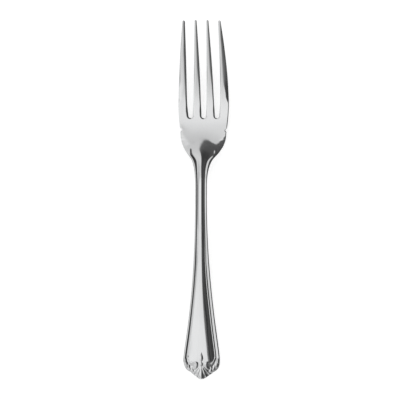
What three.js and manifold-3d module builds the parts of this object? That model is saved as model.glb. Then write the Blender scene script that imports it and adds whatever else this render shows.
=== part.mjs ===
// Fish fork of polished stainless steel: four tines, a notched head and a threaded handle with a shell end.
// Millimetres. X across the fork, Y along it towards the tine tips, Z up from the table.
import * as THREE from "three";
import { mergeVertices } from "three/addons/utils/BufferGeometryUtils.js";
import Module from "manifold-3d";

const wasm = await Module();
wasm.setup();

// Lengths, one after the other from the point of the handle to the tips of the inner tines
const pointLength = 1.1;
const endFlankLength = 3.4;
const endShoulderLength = 5.3;
const handleLength = 76;
const stemLength = 12;
const shoulderLength = 26.5;
const palmLength = 15.5;
const tineRunLength = 42.2;

// Full widths of the outline at the places between those lengths
const pointNoseWidth = 0.9;
const pointWidth = 5;
const endFlankWidth = 14.6;
const handleWidth = 18.8;
const stemWidth = 5.95;
const lobeWidth = 23.5;
const headWidth = 26;
const tipSpread = 19.4;

// Reach of the curves that turn one stretch of the outline into the next
const pointBluntness = 1.8;
const endShoulderTurn = 1.4;
const handleTurn = 6.5;
const handleRunOut = 48;
const taperRunOn = 6.2;
const neckTurn = 11.25;
const neckTurnShare = 0.4;
const shoulderTurn = 5.75;
const headTurn = 5.3;
const tineTurn = 21.5;
const tineTurnDrop = 0.9;

// Side profile: heights of the middle of the metal above the table and the reach of its curves
const neckHeight = 6.6;
const kneeHeight = 2.3;
const tipHeight = 10.7;
const neckCrestSetback = 5.5;
const kneeSetback = 6.3;
const palmLowSetback = 8.5;
const endRestLength = 12;
const restFlatDepth = 0.1;
const handleSweep = 28;
const neckSweep = 7;
const kneeSweep = 4.3;
const kneeSlope = -0.13;
const palmSweep = 5.3;
const tineLiftSweep = 17;
const tineSweep = 16;
const tineTipSlope = 0.235;

// Metal thickness at the edges, and how much fuller the middle is on the face and on the back
const endThickness = 1.7;
const stemThickness = 2.5;
const palmThickness = 2.2;
const tipThickness = 1;
const endCrown = 0.15;
const panelCrown = 0.62;
const stemCrown = 0.7;
const neckCrown = 0.75;
const neckCrownSetback = 13.2;
const neckCrownFadeLength = 14;
const stemBackCrown = 0.8;
const dishRadius = 200;
const dishSetback = 7;
const dishFadeLength = 11;

// Threads struck along the border of the handle: one at the edge and a finer one inside it
const threadWidth = 1.5;
const threadHeight = 0.34;
const threadRunOn = 11;
const threadFadeLength = 7.6;
const fineThreadWidth = 0.95;
const fineThreadHeight = 0.16;
const fineThreadFadeLength = 22;
const fineThreadLeast = 0.1;
const threadShareOfHalf = 0.42;

// Tines and the slots between them
const slotDepth = 49.6;
const innerTineOffset = 3.45;
const innerTineToeIn = 0.42;
const innerTineRootWidth = 4.05;
const innerTineTipWidth = 1;
const innerTineFullWidth = 2.9;
const outerTineRootWidth = 4.6;
const outerTineTipWidth = 1.2;
const outerTineFullWidth = 3.95;
const outerTineShortfall = 0.3;
const tineFullSetback = 21;
const tineTipRound = 0.7;
const tipFlatShare = 0.28;
const rootRoundness = 0.12;
const midRoundness = 0.7;
const tipRoundness = 0.9;
const tineRoundingLength = 26;

// Round nick in each side of the head
const notchRadius = 0.9;
const notchDepth = 0.7;
const notchSetback = 2.3;

// Shell, leaf, scrolls and gadroons struck into the handle's end
const ornamentLength = 14;
const ornamentRelief = 0.34;
const ornamentMargin = 0.3;
const shellHinge = 7.2;
const shellRibs = 7;
const shellSpread = 112;
const shellFallSlope = 0.125;
const shellRidgeWidth = 2;
const shellFallFadeLength = 2.4;
const ribWidth = 2;
const ribSkew = 1.8;
const leafLength = 6.4;
const leafWidth = 1.9;
const leafSkew = 0.7;
const scrollOffset = 3.8;
const scrollStation = 8;
const scrollWidth = 2.5;
const scrollLength = 3.8;
const scrollThread = 0.7;
const gadroonCount = 4;
const gadroonLength = 2.1;
const gadroonWidth = 1.6;
const gadroonPitch = 1.8;
const gadroonStart = 5;
const gadroonSkew = 1;
const lobeFullness = 0.6;

// Places along the fork that follow from the lengths
const endFlankStart = pointLength;
const endShoulderStart = endFlankStart + endFlankLength;
const handleStart = endShoulderStart + endShoulderLength;
const stemStart = handleStart + handleLength;
const stemEnd = stemStart + stemLength;
const neckCrest = stemEnd + neckCrestSetback;
const lobeStation = stemEnd + shoulderLength;
const notchStation = lobeStation + notchSetback;
const headStation = lobeStation + palmLength;
const kneeStation = lobeStation - kneeSetback;
const palmLow = headStation - palmLowSetback;
const tipStation = headStation + tineRunLength;
const middle = tipStation / 2;

// How finely curves and lofts are divided
const curveSteps = 48;
const threadSteps = [0, 0.12, 0.5, 0.88, 1];
const fineThreadSteps = [0.5, 1];
const panelSteps = [0.7, 0.35, 0];
const tineColumns = 9;
const roundSteps = 24;
const pointRows = 5;
const flankRows = 12;
const endRows = 4;
const handleRows = 26;
const stemRows = 5;
const shoulderRows = 22;
const palmRows = 8;
const shaftRows = 14;
const noseRows = 4;
const lobeRows = 6;
const lobeSides = 8;
const ringSides = 6;
const ringSteps = 14;
const eyeRows = 6;
const reachStep = 0.05;
const weldDistance = 1e-4;

/** Turns a path drawn over the length into a function of the place along the fork. */
function along(path) {
  const points = path.getPoints(curveSteps);
  return (place) => {
    const found = points.findIndex((point) => point.x >= place);
    const after = found < 0 ? points.length - 1 : Math.max(found, 1);
    const before = points[after - 1];
    const share = (place - before.x) / (points[after].x - before.x);
    return THREE.MathUtils.lerp(before.y, points[after].y, THREE.MathUtils.clamp(share, 0, 1));
  };
}

/** Value that eases from each [place, value] pair to the next. */
function eased(...knots) {
  return (place) => {
    let value = knots[0][1];
    for (let i = 1; i < knots.length; i += 1) {
      const share = THREE.MathUtils.smoothstep(place, knots[i - 1][0], knots[i][0]);
      value += (knots[i][1] - knots[i - 1][1]) * share;
    }
    return value;
  };
}

/** Half of the outline, from the point of the handle to the outer edge of an outer tine. */
function outlinePath() {
  const stemHalf = stemWidth / 2;
  const handleHalf = handleWidth / 2;
  const lobeHalf = lobeWidth / 2;
  const headHalf = headWidth / 2;
  const neck = new THREE.Vector2(stemEnd + neckTurn, stemHalf);
  const shoulder = new THREE.Vector2(lobeStation - shoulderTurn, lobeHalf);
  const turn = neck.clone().lerp(shoulder, neckTurnShare);
  const path = new THREE.Path();
  path.moveTo(0, pointNoseWidth / 2);
  path.quadraticCurveTo(0, pointBluntness / 2, endFlankStart, pointWidth / 2);
  path.lineTo(endShoulderStart, endFlankWidth / 2);
  path.quadraticCurveTo(endShoulderStart + endShoulderTurn, handleHalf, handleStart, handleHalf);
  const broadEnd = handleStart + handleTurn;
  const taperEnd = stemStart + taperRunOn;
  path.bezierCurveTo(broadEnd, handleHalf, taperEnd - handleRunOut, stemHalf, taperEnd, stemHalf);
  path.lineTo(stemEnd, stemHalf);
  path.quadraticCurveTo(neck.x, neck.y, turn.x, turn.y);
  path.quadraticCurveTo(shoulder.x, shoulder.y, lobeStation, lobeHalf);
  path.quadraticCurveTo(headStation - headTurn, headHalf, headStation, headHalf);
  path.quadraticCurveTo(tipStation - tineTurn, headHalf - tineTurnDrop / 2, tipStation, tipSpread / 2);
  return path;
}

/** Side view of the middle of the metal: handle up to the neck, drop into the palm, lift of the tines. */
function spinePath() {
  const endHeight = endThickness / 2;
  const palmHeight = palmThickness / 2 - restFlatDepth;
  const kneeRise = kneeSweep * kneeSlope;
  const tineBend = tipHeight - tineSweep * tineTipSlope;
  const path = new THREE.Path();
  path.moveTo(0, endHeight);
  path.lineTo(endRestLength, endHeight);
  const handleBend = endRestLength + handleSweep;
  path.bezierCurveTo(handleBend, endHeight, neckCrest - handleSweep, neckHeight, neckCrest, neckHeight);
  const beforeKnee = kneeStation - kneeSweep;
  const neckEnd = neckCrest + neckSweep;
  path.bezierCurveTo(neckEnd, neckHeight, beforeKnee, kneeHeight - kneeRise, kneeStation, kneeHeight);
  const afterKnee = kneeStation + kneeSweep;
  path.bezierCurveTo(afterKnee, kneeHeight + kneeRise, palmLow - palmSweep, palmHeight, palmLow, palmHeight);
  const tineStart = palmLow + tineLiftSweep;
  path.bezierCurveTo(tineStart, palmHeight, tipStation - tineSweep, tineBend, tipStation, tipHeight);
  return path;
}

const outline = along(outlinePath());
const spine = along(spinePath());
const thickness = eased(
  [0, endThickness],
  [stemEnd, stemThickness],
  [palmLow, palmThickness],
  [tipStation, tipThickness],
);
const neckCrownStation = stemEnd + neckCrownSetback;
const crown = eased(
  [0, endCrown],
  [ornamentLength, panelCrown],
  [stemEnd, stemCrown],
  [neckCrownStation, neckCrown],
  [neckCrownStation + neckCrownFadeLength, 0],
);
const dishStation = lobeStation - dishSetback;
const dish = eased([dishStation, 0], [dishStation + dishFadeLength, 1 / (2 * dishRadius)]);
const backCrown = eased([endRestLength, 0], [stemEnd, stemBackCrown], [lobeStation, 0]);
const threadEnd = stemEnd + threadRunOn;
const thread = eased([shellHinge, 0], [handleStart, 1], [threadEnd, 1], [threadEnd + threadFadeLength, 0]);
const fineThread = eased([stemStart - fineThreadFadeLength, 1], [stemStart, fineThreadLeast]);
const shellFallShare = eased(
  [shellHinge - shellFallFadeLength, 1],
  [shellHinge + shellFallFadeLength, 0],
);

/** Widths of the two threads and of half the panel between them at one place. */
function borderAt(place) {
  const half = outline(place);
  const edge = Math.min(threadWidth, threadShareOfHalf * half);
  const fine = Math.min(fineThreadWidth, threadShareOfHalf * half / 2) * fineThread(place);
  return { half, edge, fine, panel: half - edge - fine };
}

/** Height of half an ellipse over its width, at a share of that width. */
function bead(share) {
  return Math.sqrt(Math.max(0, 1 - (2 * share - 1) ** 2));
}

/** How far the shell falls away to the side of its soft middle ridge. */
function shellFall(x, place) {
  const ridge = shellRidgeWidth / 2;
  return shellFallSlope * shellFallShare(place) * (Math.hypot(x, ridge) - ridge);
}

/** Height of the metal's middle surface, which dishes across the head. */
function lift(x, place) {
  return spine(place) + dish(place) * x * x - shellFall(x, place) / 2;
}

/** Half the thickness of the plate, which thins where the shell falls away. */
function halfPlate(x, place) {
  return (thickness(place) - shellFall(x, place)) / 2;
}

/** Height of the face over the table: edge thread, groove, fine thread and crowned panel. */
function faceHeight(x, place) {
  const { half, edge, fine, panel } = borderAt(place);
  const inset = half - Math.abs(x);
  const plate = halfPlate(x, place);
  const relief = threadHeight * thread(place);
  let height = plate;
  if (inset <= edge / 2) {
    height = (plate + relief) * bead(inset / edge);
  } else if (inset < edge) {
    height = plate + relief * bead(inset / edge);
  } else if (inset < edge + fine) {
    height = plate + fineThreadHeight * thread(place) * fineThread(place) * bead((inset - edge) / fine);
  } else {
    height = plate + crown(place) * (1 - (x / panel) ** 2);
  }
  return lift(x, place) + height;
}

/** Height of the plain back over the table, flat where it rests. */
function backHeight(x, place) {
  const { half, edge } = borderAt(place);
  const inset = half - Math.abs(x);
  const round = inset < edge / 2 ? bead(inset / edge) : 1;
  const depth = halfPlate(x, place) + backCrown(place) * (1 - (x / half) ** 2);
  return Math.max(0, lift(x, place) - depth * round);
}

/** Section across the fork on the handle's side of the slots: one x, face and back height for each column. */
function plateSection(place) {
  const { half, edge, fine, panel } = borderAt(place);
  const rightSide = [
    ...threadSteps.map((step) => half - step * edge),
    ...fineThreadSteps.map((step) => half - edge - step * fine),
    ...panelSteps.map((step) => step * panel),
  ];
  const leftSide = rightSide.slice(0, -1).map((x) => -x);
  const across = [...leftSide, ...rightSide.reverse()];
  return across.map((x, column) => {
    const atEdge = column === 0 || column === across.length - 1;
    const face = atEdge ? lift(x, place) : faceHeight(x, place);
    return { x, y: place - middle, face, back: atEdge ? face : backHeight(x, place) };
  });
}

/** Closed solid through sections that have the same columns. */
function loft(sections) {
  const columns = sections[0].length;
  const ring = 2 * columns - 2;
  const positions = [];
  const triangles = [];
  const faceAt = (row, column) => row * ring + column;
  const backAt = (row, column) => {
    const atEdge = column === 0 || column === columns - 1;
    return atEdge ? faceAt(row, column) : row * ring + columns + column - 1;
  };
  const quad = (a, b, c, d) => {
    if (a !== b) triangles.push(a, b, c);
    if (c !== d) triangles.push(a, c, d);
  };
  for (const section of sections) {
    for (const { x, y, face } of section) positions.push(x, y, face);
    for (const { x, y, back } of section.slice(1, -1)) positions.push(x, y, back);
  }
  const last = sections.length - 1;
  for (let column = 0; column < columns - 1; column += 1) {
    const next = column + 1;
    for (let row = 0; row < last; row += 1) {
      quad(faceAt(row, column), faceAt(row, next), faceAt(row + 1, next), faceAt(row + 1, column));
      quad(backAt(row + 1, column), backAt(row + 1, next), backAt(row, next), backAt(row, column));
    }
    quad(backAt(0, column), backAt(0, next), faceAt(0, next), faceAt(0, column));
    quad(faceAt(last, column), faceAt(last, next), backAt(last, next), backAt(last, column));
  }
  const geometry = new THREE.BufferGeometry();
  geometry.setAttribute("position", new THREE.Float32BufferAttribute(positions, 3));
  geometry.setIndex(triangles);
  return geometry;
}

/** Places from start to end, evenly spaced. */
function stations(start, end, count) {
  return Array.from({ length: count + 1 }, (_, i) => THREE.MathUtils.lerp(start, end, i / count));
}

/** Solid for boolean work. */
function toSolid(geometry) {
  const bare = geometry.clone();
  bare.deleteAttribute("normal");
  bare.deleteAttribute("uv");
  const merged = mergeVertices(bare, weldDistance);
  const vertProperties = new Float32Array(merged.attributes.position.array);
  const triVerts = new Uint32Array(merged.index.array);
  return new wasm.Manifold(new wasm.Mesh({ numProp: 3, vertProperties, triVerts }));
}

/** Geometry of a boolean result. */
function toGeometry(solid) {
  const { vertProperties, triVerts } = solid.getMesh();
  const geometry = new THREE.BufferGeometry();
  geometry.setAttribute("position", new THREE.BufferAttribute(vertProperties, 3));
  geometry.setIndex(new THREE.BufferAttribute(triVerts, 1));
  return geometry;
}

/** Mirror-polished stainless steel. */
function polishedSteel() {
  return new THREE.MeshStandardMaterial({ color: 0xc4c6c8, roughness: 0.12, metalness: 1 });
}

/** Named mesh with its own material. */
function piece(name, geometry) {
  const shaded = geometry.clone();
  shaded.computeVertexNormals();
  const mesh = new THREE.Mesh(shaded, polishedSteel());
  mesh.name = name;
  return mesh;
}

/** Lobe from the origin along Y, round above and below; a higher skew moves its belly outwards. */
function lobe(length, width, skew) {
  const profile = stations(0, 1, lobeRows).map((share, i) => {
    const belly = Math.max(0, Math.sin(Math.PI * share ** skew)) ** lobeFullness;
    const onAxis = i === 0 || i === lobeRows;
    return new THREE.Vector2(onAxis ? 0 : (width / 2) * belly, length * share);
  });
  const geometry = new THREE.LatheGeometry(profile, lobeSides);
  geometry.scale(1, 1, ornamentRelief / (width / 2));
  return geometry;
}

/** Lobe that lies along the face from (x, place), at an angle from the Y direction. */
function laidLobe(length, width, skew, x, place, angle) {
  const foot = faceHeight(x, place);
  const far = faceHeight(x - length * Math.sin(angle), place + length * Math.cos(angle));
  const geometry = lobe(length, width, skew);
  geometry.rotateX(Math.atan2(far - foot, length));
  geometry.rotateZ(angle);
  geometry.translate(x, place - middle, foot);
  return geometry;
}

/** Length from the shell's hinge to the outline along a direction, less the margin. */
function ribReach(angle) {
  let reach = reachStep;
  const inside = () => {
    const place = shellHinge - reach * Math.cos(angle);
    return place > ornamentMargin && reach * Math.abs(Math.sin(angle)) < outline(place) - ornamentMargin;
  };
  while (inside()) reach += reachStep;
  return reach;
}

/** Ribs that fan out from the hinge to the point of the handle. */
function shellFan() {
  return stations(-shellSpread / 2, shellSpread / 2, shellRibs - 1).map((degrees) => {
    const angle = THREE.MathUtils.degToRad(degrees);
    return laidLobe(ribReach(angle), ribWidth, ribSkew, 0, shellHinge, Math.PI + angle);
  });
}

/** Leaf that stands on the hinge and points up the handle. */
function leaf() {
  return laidLobe(leafLength, leafWidth, leafSkew, 0, shellHinge - ornamentMargin, 0);
}

/** Oval scroll on each side, with a bead in its eye. */
function scrolls() {
  const radius = (scrollWidth - scrollThread) / 2;
  const stretch = scrollLength / scrollWidth;
  return [-1, 1].flatMap((side) => {
    const ring = new THREE.TorusGeometry(radius, scrollThread / 2, ringSides, ringSteps);
    const eye = new THREE.SphereGeometry(scrollThread / 2, lobeSides, eyeRows);
    const x = side * scrollOffset;
    const height = faceHeight(x, scrollStation);
    return [ring, eye].map((part) => part.scale(1, stretch, 1).translate(x, scrollStation - middle, height));
  });
}

/** Short lobes square to the edge along both shoulders of the end. */
function gadroons() {
  const places = stations(gadroonStart, gadroonStart + gadroonPitch * (gadroonCount - 1), gadroonCount - 1);
  return places.flatMap((place) => {
    const slope = outline(place + gadroonPitch / 2) - outline(place - gadroonPitch / 2);
    const outward = new THREE.Vector2(gadroonPitch, -slope).normalize();
    const x = outline(place) - (gadroonLength + ornamentMargin) * outward.x;
    const foot = place - gadroonLength * outward.y;
    const angle = Math.atan2(-outward.x, outward.y);
    const right = laidLobe(gadroonLength, gadroonWidth, gadroonSkew, x, foot, angle);
    const left = laidLobe(gadroonLength, gadroonWidth, gadroonSkew, -x, foot, -angle);
    return [right, left];
  });
}

/** End of the handle with its struck ornament. */
function shellEnd() {
  const point = stations(0, endFlankStart, pointRows);
  const flank = stations(endFlankStart, handleStart, flankRows).slice(1);
  const rest = stations(handleStart, ornamentLength, endRows).slice(1);
  let solid = toSolid(loft([...point, ...flank, ...rest].map(plateSection)));
  for (const relief of [...shellFan(), leaf(), ...scrolls(), ...gadroons()]) {
    solid = solid.add(toSolid(relief));
  }
  return piece("shell_end", toGeometry(solid));
}

/** Broad threaded handle that tapers to the stem. */
function handle() {
  return piece("handle", loft(stations(ornamentLength, stemStart, handleRows).map(plateSection)));
}

/** Narrow parallel stem. */
function stem() {
  return piece("stem", loft(stations(stemStart, stemEnd, stemRows).map(plateSection)));
}

/** Neck that spreads and drops into the head. */
function shoulders() {
  return piece("shoulders", loft(stations(stemEnd, lobeStation, shoulderRows).map(plateSection)));
}

/** Edges of one tine on the right half at a place: the outer edge follows the outline on an outer tine. */
function tineEdges(isOuter, place) {
  const width = isOuter ? outerTineWidth(place) : innerTineWidth(place);
  if (isOuter) {
    return { inside: outline(place) - width, outside: outline(place) };
  }
  const toeIn = (innerTineToeIn * (place - tineRoot)) / (tipStation - tineRoot);
  const centre = innerTineOffset - toeIn;
  return { inside: centre - width / 2, outside: centre + width / 2 };
}

/** Width of a tine from its root to its tip, full in between. */
function tineWidthPath(root, full, tip) {
  const path = new THREE.Path();
  path.moveTo(tineRoot, root);
  path.quadraticCurveTo(tipStation - tineFullSetback, full, tipStation, tip);
  return path;
}

// Slots: half-round roots whose centres lie on the plane where the tines start
const slotRadius = innerTineOffset - innerTineRootWidth / 2;
const tineRoot = tipStation - slotDepth + slotRadius;
const innerTineWidth = along(tineWidthPath(innerTineRootWidth, innerTineFullWidth, innerTineTipWidth));
const outerTineWidth = along(tineWidthPath(outerTineRootWidth, outerTineFullWidth, outerTineTipWidth));
const roundedFrom = tineRoot + tineRoundingLength;
const tineRoundness = eased(
  [tineRoot, rootRoundness],
  [roundedFrom, midRoundness],
  [tipStation, tipRoundness],
);

/** Upright cutter of a given radius that passes right through the plate, well above and below it. */
function uprightCutter(radius, x, place) {
  const length = 2 * (tipHeight + neckHeight);
  const cutter = new THREE.CylinderGeometry(radius, radius, length, roundSteps);
  cutter.rotateX(Math.PI / 2);
  cutter.translate(x, place - middle, 0);
  return toSolid(cutter);
}

/** Plate of the head with the side notches and the round roots of the slots. */
function palm() {
  const sideSlot = {
    inside: tineEdges(false, tineRoot).outside,
    outside: tineEdges(true, tineRoot).inside,
  };
  const sideCentre = (sideSlot.inside + sideSlot.outside) / 2;
  const sideRadius = (sideSlot.outside - sideSlot.inside) / 2;
  const notchCentre = outline(notchStation) + notchRadius - notchDepth;
  let solid = toSolid(loft(stations(lobeStation, tineRoot, palmRows).map(plateSection)));
  solid = solid.subtract(uprightCutter(slotRadius, 0, tineRoot));
  for (const side of [-1, 1]) {
    solid = solid.subtract(uprightCutter(sideRadius, side * sideCentre, tineRoot));
    solid = solid.subtract(uprightCutter(notchRadius, side * notchCentre, notchStation));
  }
  return piece("palm", toGeometry(solid));
}

/** Section across one tine, from rounded oblong at the root to oval at the tip. */
function tineSection(isOuter, side, place, tip) {
  const { inside, outside } = tineEdges(isOuter, Math.min(place, tip - tineTipRound));
  const intoTip = THREE.MathUtils.clamp((place - tip + tineTipRound) / tineTipRound, 0, 1);
  const shrink = Math.max(tipFlatShare, Math.sqrt(1 - intoTip ** 2));
  const centre = (side * (inside + outside)) / 2;
  const half = ((outside - inside) / 2) * shrink;
  const depth = (thickness(place) / 2) * shrink;
  return stations(0, Math.PI, tineColumns - 1).map((turn, column) => {
    const x = centre - half * Math.cos(turn);
    const atEdge = column === 0 || column === tineColumns - 1;
    const full = atEdge ? 0 : Math.sin(turn) ** tineRoundness(place);
    const height = lift(x, place);
    return { x, y: place - middle, face: height + depth * full, back: Math.max(0, height - depth * full) };
  });
}

/** One tine from the palm to its rounded tip. */
function tine(name, isOuter, side) {
  const tip = tipStation - (isOuter ? outerTineShortfall : 0);
  const shaft = stations(tineRoot, tip - tineTipRound, shaftRows);
  const nose = stations(tip - tineTipRound, tip, noseRows).slice(1);
  return piece(name, loft([...shaft, ...nose].map((place) => tineSection(isOuter, side, place, tip))));
}

const fork = new THREE.Group();
fork.name = "fish_fork";
fork.add(
  shellEnd(),
  handle(),
  stem(),
  shoulders(),
  palm(),
  tine("tine_outer_left", true, -1),
  tine("tine_inner_left", false, -1),
  tine("tine_inner_right", false, 1),
  tine("tine_outer_right", true, 1),
);

export default fork;
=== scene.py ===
"""Fish fork of polished stainless steel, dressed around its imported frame.

X runs across the fork, Y along it towards the tine tips and Z up from the table. Sizes are in millimetres,
and places along the fork are measured from the point of the handle; meshes are written in metres.
"""

import logging
import math
from collections.abc import Callable
from dataclasses import dataclass, field
from enum import Enum

import bpy
import numpy as np
from mathutils import Matrix, Vector


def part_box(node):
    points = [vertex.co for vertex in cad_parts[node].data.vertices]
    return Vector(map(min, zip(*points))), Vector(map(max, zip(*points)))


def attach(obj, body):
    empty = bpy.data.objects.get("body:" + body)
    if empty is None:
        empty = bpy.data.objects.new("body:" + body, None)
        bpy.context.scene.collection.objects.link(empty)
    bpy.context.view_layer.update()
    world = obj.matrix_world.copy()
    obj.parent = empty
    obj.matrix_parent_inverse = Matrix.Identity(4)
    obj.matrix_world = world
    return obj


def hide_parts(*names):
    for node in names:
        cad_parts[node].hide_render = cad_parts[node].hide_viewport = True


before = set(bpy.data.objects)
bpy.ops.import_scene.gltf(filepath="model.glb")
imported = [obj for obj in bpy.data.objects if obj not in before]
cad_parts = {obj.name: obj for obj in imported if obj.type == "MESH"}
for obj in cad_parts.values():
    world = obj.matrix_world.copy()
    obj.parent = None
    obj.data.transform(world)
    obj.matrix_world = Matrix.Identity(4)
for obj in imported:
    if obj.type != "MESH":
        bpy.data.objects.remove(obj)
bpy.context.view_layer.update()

MM = 0.001
TINY = 1e-6
BODY = "root"
LOG = logging.getLogger("fish_fork")

Array = np.ndarray
Pair = tuple[float, float]
Knots = tuple[Pair, ...]

LEFT_WINDOW: Knots = (
    (-110, 0.3), (-95, 0.3), (-80, 0.5), (-60, 0.85), (-40, 1.1), (-20, 1.1), (-10, 1.0), (-0.8, 0.95))
RIGHT_SIDE: Knots = ((45, 0.085), (62, 0.1), (80, 0.4), (100, 0.55))


class Sheet(Enum):
    """Which skin of the fork a sheet of mesh is."""

    FACE = "face"
    BACK = "back"


class Band(Enum):
    """What a run of mesh columns crosses in the head."""

    OUTER_TINE = "outer tine"
    SIDE_SLOT = "side slot"
    INNER_TINE = "inner tine"
    MIDDLE_SLOT = "middle slot"

    @property
    def is_slot(self) -> bool:
        """Whether the band is a gap between tines."""
        return self in (Band.SIDE_SLOT, Band.MIDDLE_SLOT)


def smoothstep(place: Array | float, start: float, end: float) -> Array:
    """Eases from 0 at start to 1 at end.

    Args:
        place: Where to read the step.
        start: Place at which it begins.
        end: Place at which it is complete.

    Returns:
        Values from 0 to 1.
    """
    share = np.clip((np.asarray(place, float) - start) / (end - start), 0.0, 1.0)
    return share * share * (3.0 - 2.0 * share)


def eased(place: Array | float, *knots: Pair) -> Array:
    """Value that eases from each (place, value) knot to the next.

    Args:
        place: Where to read the value.
        *knots: Places with their values, in order.

    Returns:
        The value at each place.
    """
    value = np.full_like(np.asarray(place, float), knots[0][1])
    for (start, low), (end, high) in zip(knots, knots[1:]):
        value = value + (high - low) * smoothstep(place, start, end)
    return value


def curve_points(corners: Knots | list[Pair], count: int = 160) -> Array:
    """Points of one Bezier curve with any number of control points.

    Args:
        corners: Start, control points and end.
        count: Number of steps.

    Returns:
        Array of count + 1 points.
    """
    points = [np.tile(np.array(corner, float), (count + 1, 1)) for corner in corners]
    share = np.linspace(0.0, 1.0, count + 1)[:, None]
    while len(points) > 1:
        points = [a + (b - a) * share for a, b in zip(points, points[1:])]
    return points[0]


def crowded_steps(count: int) -> Array:
    """Shares from 0 to 1 in a number of steps, closer together at both ends."""
    return 0.5 * (1.0 - np.cos(np.linspace(0.0, math.pi, count + 1)))


def edge_drop(gap: Array, width: Array, height: Array, steepness: Array) -> Array:
    """How far a rolled edge lies below the full face.

    Args:
        gap: Distances from the edge.
        width: Width of the roll.
        height: Half thickness of the metal.
        steepness: Most that the roll drops, as a share of its width.

    Returns:
        Drop below the face, nothing beyond the roll.
    """
    share = 1.0 - np.clip(gap / width, 0.0, 1.0)
    return np.minimum(height, steepness * width) * share * share


def log_cosh(value: Array) -> Array:
    """Logarithm of the hyperbolic cosine of positive values, of any size."""
    return value + np.log1p(np.exp(-2.0 * value)) - math.log(2.0)


def under_round(gap: Array, width: Array) -> Array:
    """Share by which the back rises to the edge: 1 at the edge, upright there, and 0 beyond the width."""
    inward = 1.0 - np.clip(gap / width, 0.0, 1.0)
    return 1.0 - np.sqrt(np.maximum(0.0, 1.0 - inward * inward))


def line_distance(x: Array, y: Array, line: Array, batch: int = 4000) -> Array:
    """Distance from points to a line of straight steps.

    Args:
        x: First coordinates of the points.
        y: Second coordinates of the points.
        line: Corners of the line, one in each row.
        batch: Number of points that are worked out together.

    Returns:
        Distance of each point.
    """
    flat = np.stack([np.ravel(x), np.ravel(y)], axis=1)
    start, step = line[:-1], np.diff(line, axis=0)
    length = np.maximum((step * step).sum(axis=1), 1e-18)
    best = np.empty(len(flat))
    for first in range(0, len(flat), batch):
        part = flat[first:first + batch, None, :] - start[None]
        share = np.clip((part * step[None]).sum(axis=2) / length[None], 0.0, 1.0)
        gap = part - share[:, :, None] * step[None]
        best[first:first + batch] = np.sqrt((gap * gap).sum(axis=2).min(axis=1))
    return best.reshape(np.shape(x))


def deselect_all() -> None:
    """Leaves object mode with nothing selected."""
    if bpy.context.object and bpy.context.object.mode != "OBJECT":
        bpy.ops.object.mode_set(mode="OBJECT")
    bpy.ops.object.select_all(action="DESELECT")


def activate(*objects: bpy.types.Object) -> None:
    """Selects only these objects and makes the first one active.

    Args:
        *objects: The objects to select.
    """
    deselect_all()
    for chosen in objects:
        chosen.select_set(True)
    bpy.context.view_layer.objects.active = objects[0]


def edit_all(operation: Callable[..., object], **options: float) -> None:
    """Runs one mesh operation on the whole of the active object.

    Args:
        operation: Operator that edits a mesh.
        **options: Its settings.
    """
    bpy.ops.object.mode_set(mode="EDIT")
    bpy.ops.mesh.select_all(action="SELECT")
    operation(**options)
    bpy.ops.object.mode_set(mode="OBJECT")


def read(items: bpy.types.bpy_prop_collection, name: str, width: int = 3) -> Array:
    """Reads one property of all items of a mesh.

    Args:
        items: Vertices, faces, corners or values of an attribute.
        name: Name of the property.
        width: Numbers in each value; a single number is read as a whole one.

    Returns:
        The values, one row for each item.
    """
    values = np.empty(width * len(items), float if width > 1 else int)
    items.foreach_get(name, values)
    return values.reshape(-1, width) if width > 1 else values


@dataclass
class SideProfile:
    """Side view of the middle of the metal and how thick the metal is."""

    end_height: float = 0.85
    neck_height: float = 6.6
    palm_height: float = 1.0
    tip_height: float = 10.7
    rest_end: float = 12.0
    neck_crest: float = 103.3
    palm_low: float = 131.3
    tip: float = 182.0
    handle_sweep: float = 28.0
    neck_sweep: float = 7.0
    knee: Pair = (118.0, 2.3)
    knee_slope: float = -0.13
    knee_reach: float = 4.3
    palm_sweep: float = 5.3
    tine_lift: float = 17.0
    tine_sweep: float = 16.0
    tip_slope: float = 0.235
    blend: float = 2.4
    end_thickness: float = 1.7
    stem_thickness: float = 2.5
    palm_thickness: float = 2.2
    tip_thickness: float = 1.0
    stem_end: float = 97.8
    table: Array = field(init=False)
    step: float = 0.1

    def __post_init__(self) -> None:
        """Draws the side view once and blends its curves into each other."""
        stations = ((self.rest_end, self.end_height, 0.0, 0.0, self.handle_sweep),
                    (self.neck_crest, self.neck_height, 0.0, self.handle_sweep, self.neck_sweep),
                    (*self.knee, self.knee_slope, self.knee_reach, self.knee_reach),
                    (self.palm_low, self.palm_height, 0.0, self.palm_sweep, self.tine_lift),
                    (self.tip, self.tip_height, self.tip_slope, self.tine_sweep, 0.0))
        runs = [np.array([(0.0, self.end_height)])]
        for (start, low, climb, _, leave), (end, high, arrival, arrive, _) in zip(stations, stations[1:]):
            runs.append(curve_points([(start, low), (start + leave, low + climb * leave),
                                      (end - arrive, high - arrival * arrive), (end, high)]))
        drawn = np.vstack(runs)
        reach = int(4 * self.blend / self.step)
        places = np.arange(-reach, int(self.tip / self.step) + reach + 1) * self.step
        heights = np.interp(places, drawn[:, 0], drawn[:, 1])
        beyond = places > self.tip
        heights[beyond] = self.tip_height + self.tip_slope * (places[beyond] - self.tip)
        weights = np.exp(-0.5 * (np.arange(-reach, reach + 1) * self.step / self.blend) ** 2)
        smooth = np.convolve(heights, weights / weights.sum(), mode="valid")
        self.table = np.stack([places[reach:-reach], smooth], axis=1)

    def height(self, place: Array) -> Array:
        """Height of the middle of the metal over the table at each place."""
        return np.interp(place, self.table[:, 0], self.table[:, 1])

    def half_thickness(self, place: Array) -> Array:
        """Half the thickness of the plate at each place."""
        return 0.5 * eased(place, (0.0, self.end_thickness), (self.stem_end, self.stem_thickness),
                           (self.palm_low, self.palm_thickness), (self.tip, self.tip_thickness))


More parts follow.
